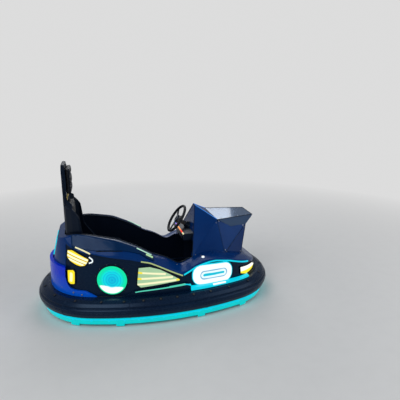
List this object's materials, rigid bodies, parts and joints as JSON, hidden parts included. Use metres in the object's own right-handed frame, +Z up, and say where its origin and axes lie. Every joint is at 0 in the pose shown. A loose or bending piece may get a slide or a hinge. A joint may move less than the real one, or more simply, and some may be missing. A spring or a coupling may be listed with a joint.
{
  "type": "drift kart",
  "caption": "Battery fairground kart with an oval rubber bumper, light skirt, faceted lit body, angular cowl with a wing plate and a tall bucket seat.",
  "frame": {"origin": "on the floor, under the middle of the kart", "axes": "+X forward in the driving direction, +Y to the driver's left, +Z up"},
  "size_m": [1.92, 1.19, 1.146],
  "materials": {
    "blue_shell": "glossy, light scratches",
    "dark_panel": "glossy black",
    "bumper_rubber": "satin with scuffs",
    "tyre": "dusty",
    "steel_frame": "satin powder coat",
    "bright_steel": "brushed",
    "cast_hub": "cast",
    "black_plastic": "fine grain",
    "seat_vinyl": "soft vinyl",
    "cyan_light": "milky diffuser",
    "white_light": "milky diffuser",
    "green_light": "milky diffuser",
    "warm_light": "milky diffuser",
    "battery_case": "moulded"
  },
  "bodies": {
    "chassis": {"back_pad": "seat_vinyl", "battery_box": "battery_case", "blade_trim_left": "dark_panel", "blade_trim_right": "dark_panel", "body_sill": "blue_shell", "bumper_ring": "bumper_rubber", "chassis_frame": "steel_frame", "cockpit_liner": "black_plastic", "corner_lamp_left": "warm_light", "corner_lamp_right": "warm_light", "cowl": "blue_shell", "dash_console": "black_plastic", "floor_pan": "bright_steel", "foot_pedal": "bright_steel", "head_pad": "seat_vinyl", "headlamp_left": "white_light", "headlamp_right": "white_light", "marker_lamp_left": "warm_light", "marker_lamp_right": "warm_light", "rear_axle": "steel_frame", "rear_bar_lamp_left": "warm_light", "rear_bar_lamp_right": "warm_light", "rear_cross_lamp": "cyan_light", "ring_lamp_left": "cyan_light", "ring_lamp_right": "cyan_light", "seat_cushion": "seat_vinyl", "seat_shell": "black_plastic", "side_panel_left": "dark_panel", "side_panel_right": "dark_panel", "steering_column": "steel_frame", "steering_gearbox": "steel_frame", "tail_cover": "blue_shell", "triangle_lamp_left": "green_light", "triangle_lamp_right": "green_light", "underglow_skirt": "cyan_light", "upper_shell": "blue_shell", "wing_plate": "blue_shell"},
    "steering_wheel": {"steering_rim": "black_plastic", "steering_hub": "steel_frame"},
    "drive_fork": {"drive_fork": "steel_frame"},
    "drive_wheel": {"drive_hub": "cast_hub", "drive_tyre": "tyre"},
    "rear_wheel_left": {"rear_hub_left": "cast_hub", "rear_tyre_left": "tyre"},
    "rear_wheel_right": {"rear_hub_right": "cast_hub", "rear_tyre_right": "tyre"}
  },
  "joints": [
    {"name": "steering_wheel_turn", "type": "hinge", "parent": "chassis", "child": "steering_wheel", "pos_m": [0.175, 0, 0.64], "axis": [-0.8192, 0, 0.5736], "continuous": true},
    {"name": "drive_fork_steer", "type": "hinge", "parent": "chassis", "child": "drive_fork", "pos_m": [0.56, 0, 0.218], "axis": [0, 0, 1], "continuous": true},
    {"name": "drive_wheel_spin", "type": "hinge", "parent": "drive_fork", "child": "drive_wheel", "pos_m": [0.56, 0, 0.1], "axis": [0, 1, 0], "continuous": true},
    {"name": "rear_wheel_left_spin", "type": "hinge", "parent": "chassis", "child": "rear_wheel_left", "pos_m": [-0.44, 0.343, 0.1], "axis": [0, 1, 0], "continuous": true},
    {"name": "rear_wheel_right_spin", "type": "hinge", "parent": "chassis", "child": "rear_wheel_right", "pos_m": [-0.44, -0.343, 0.1], "axis": [0, 1, 0], "continuous": true}
  ],
  "couplings": [
    {"joint": "drive_fork_steer", "follows": "steering_wheel_turn", "ratio": 1}
  ]
}
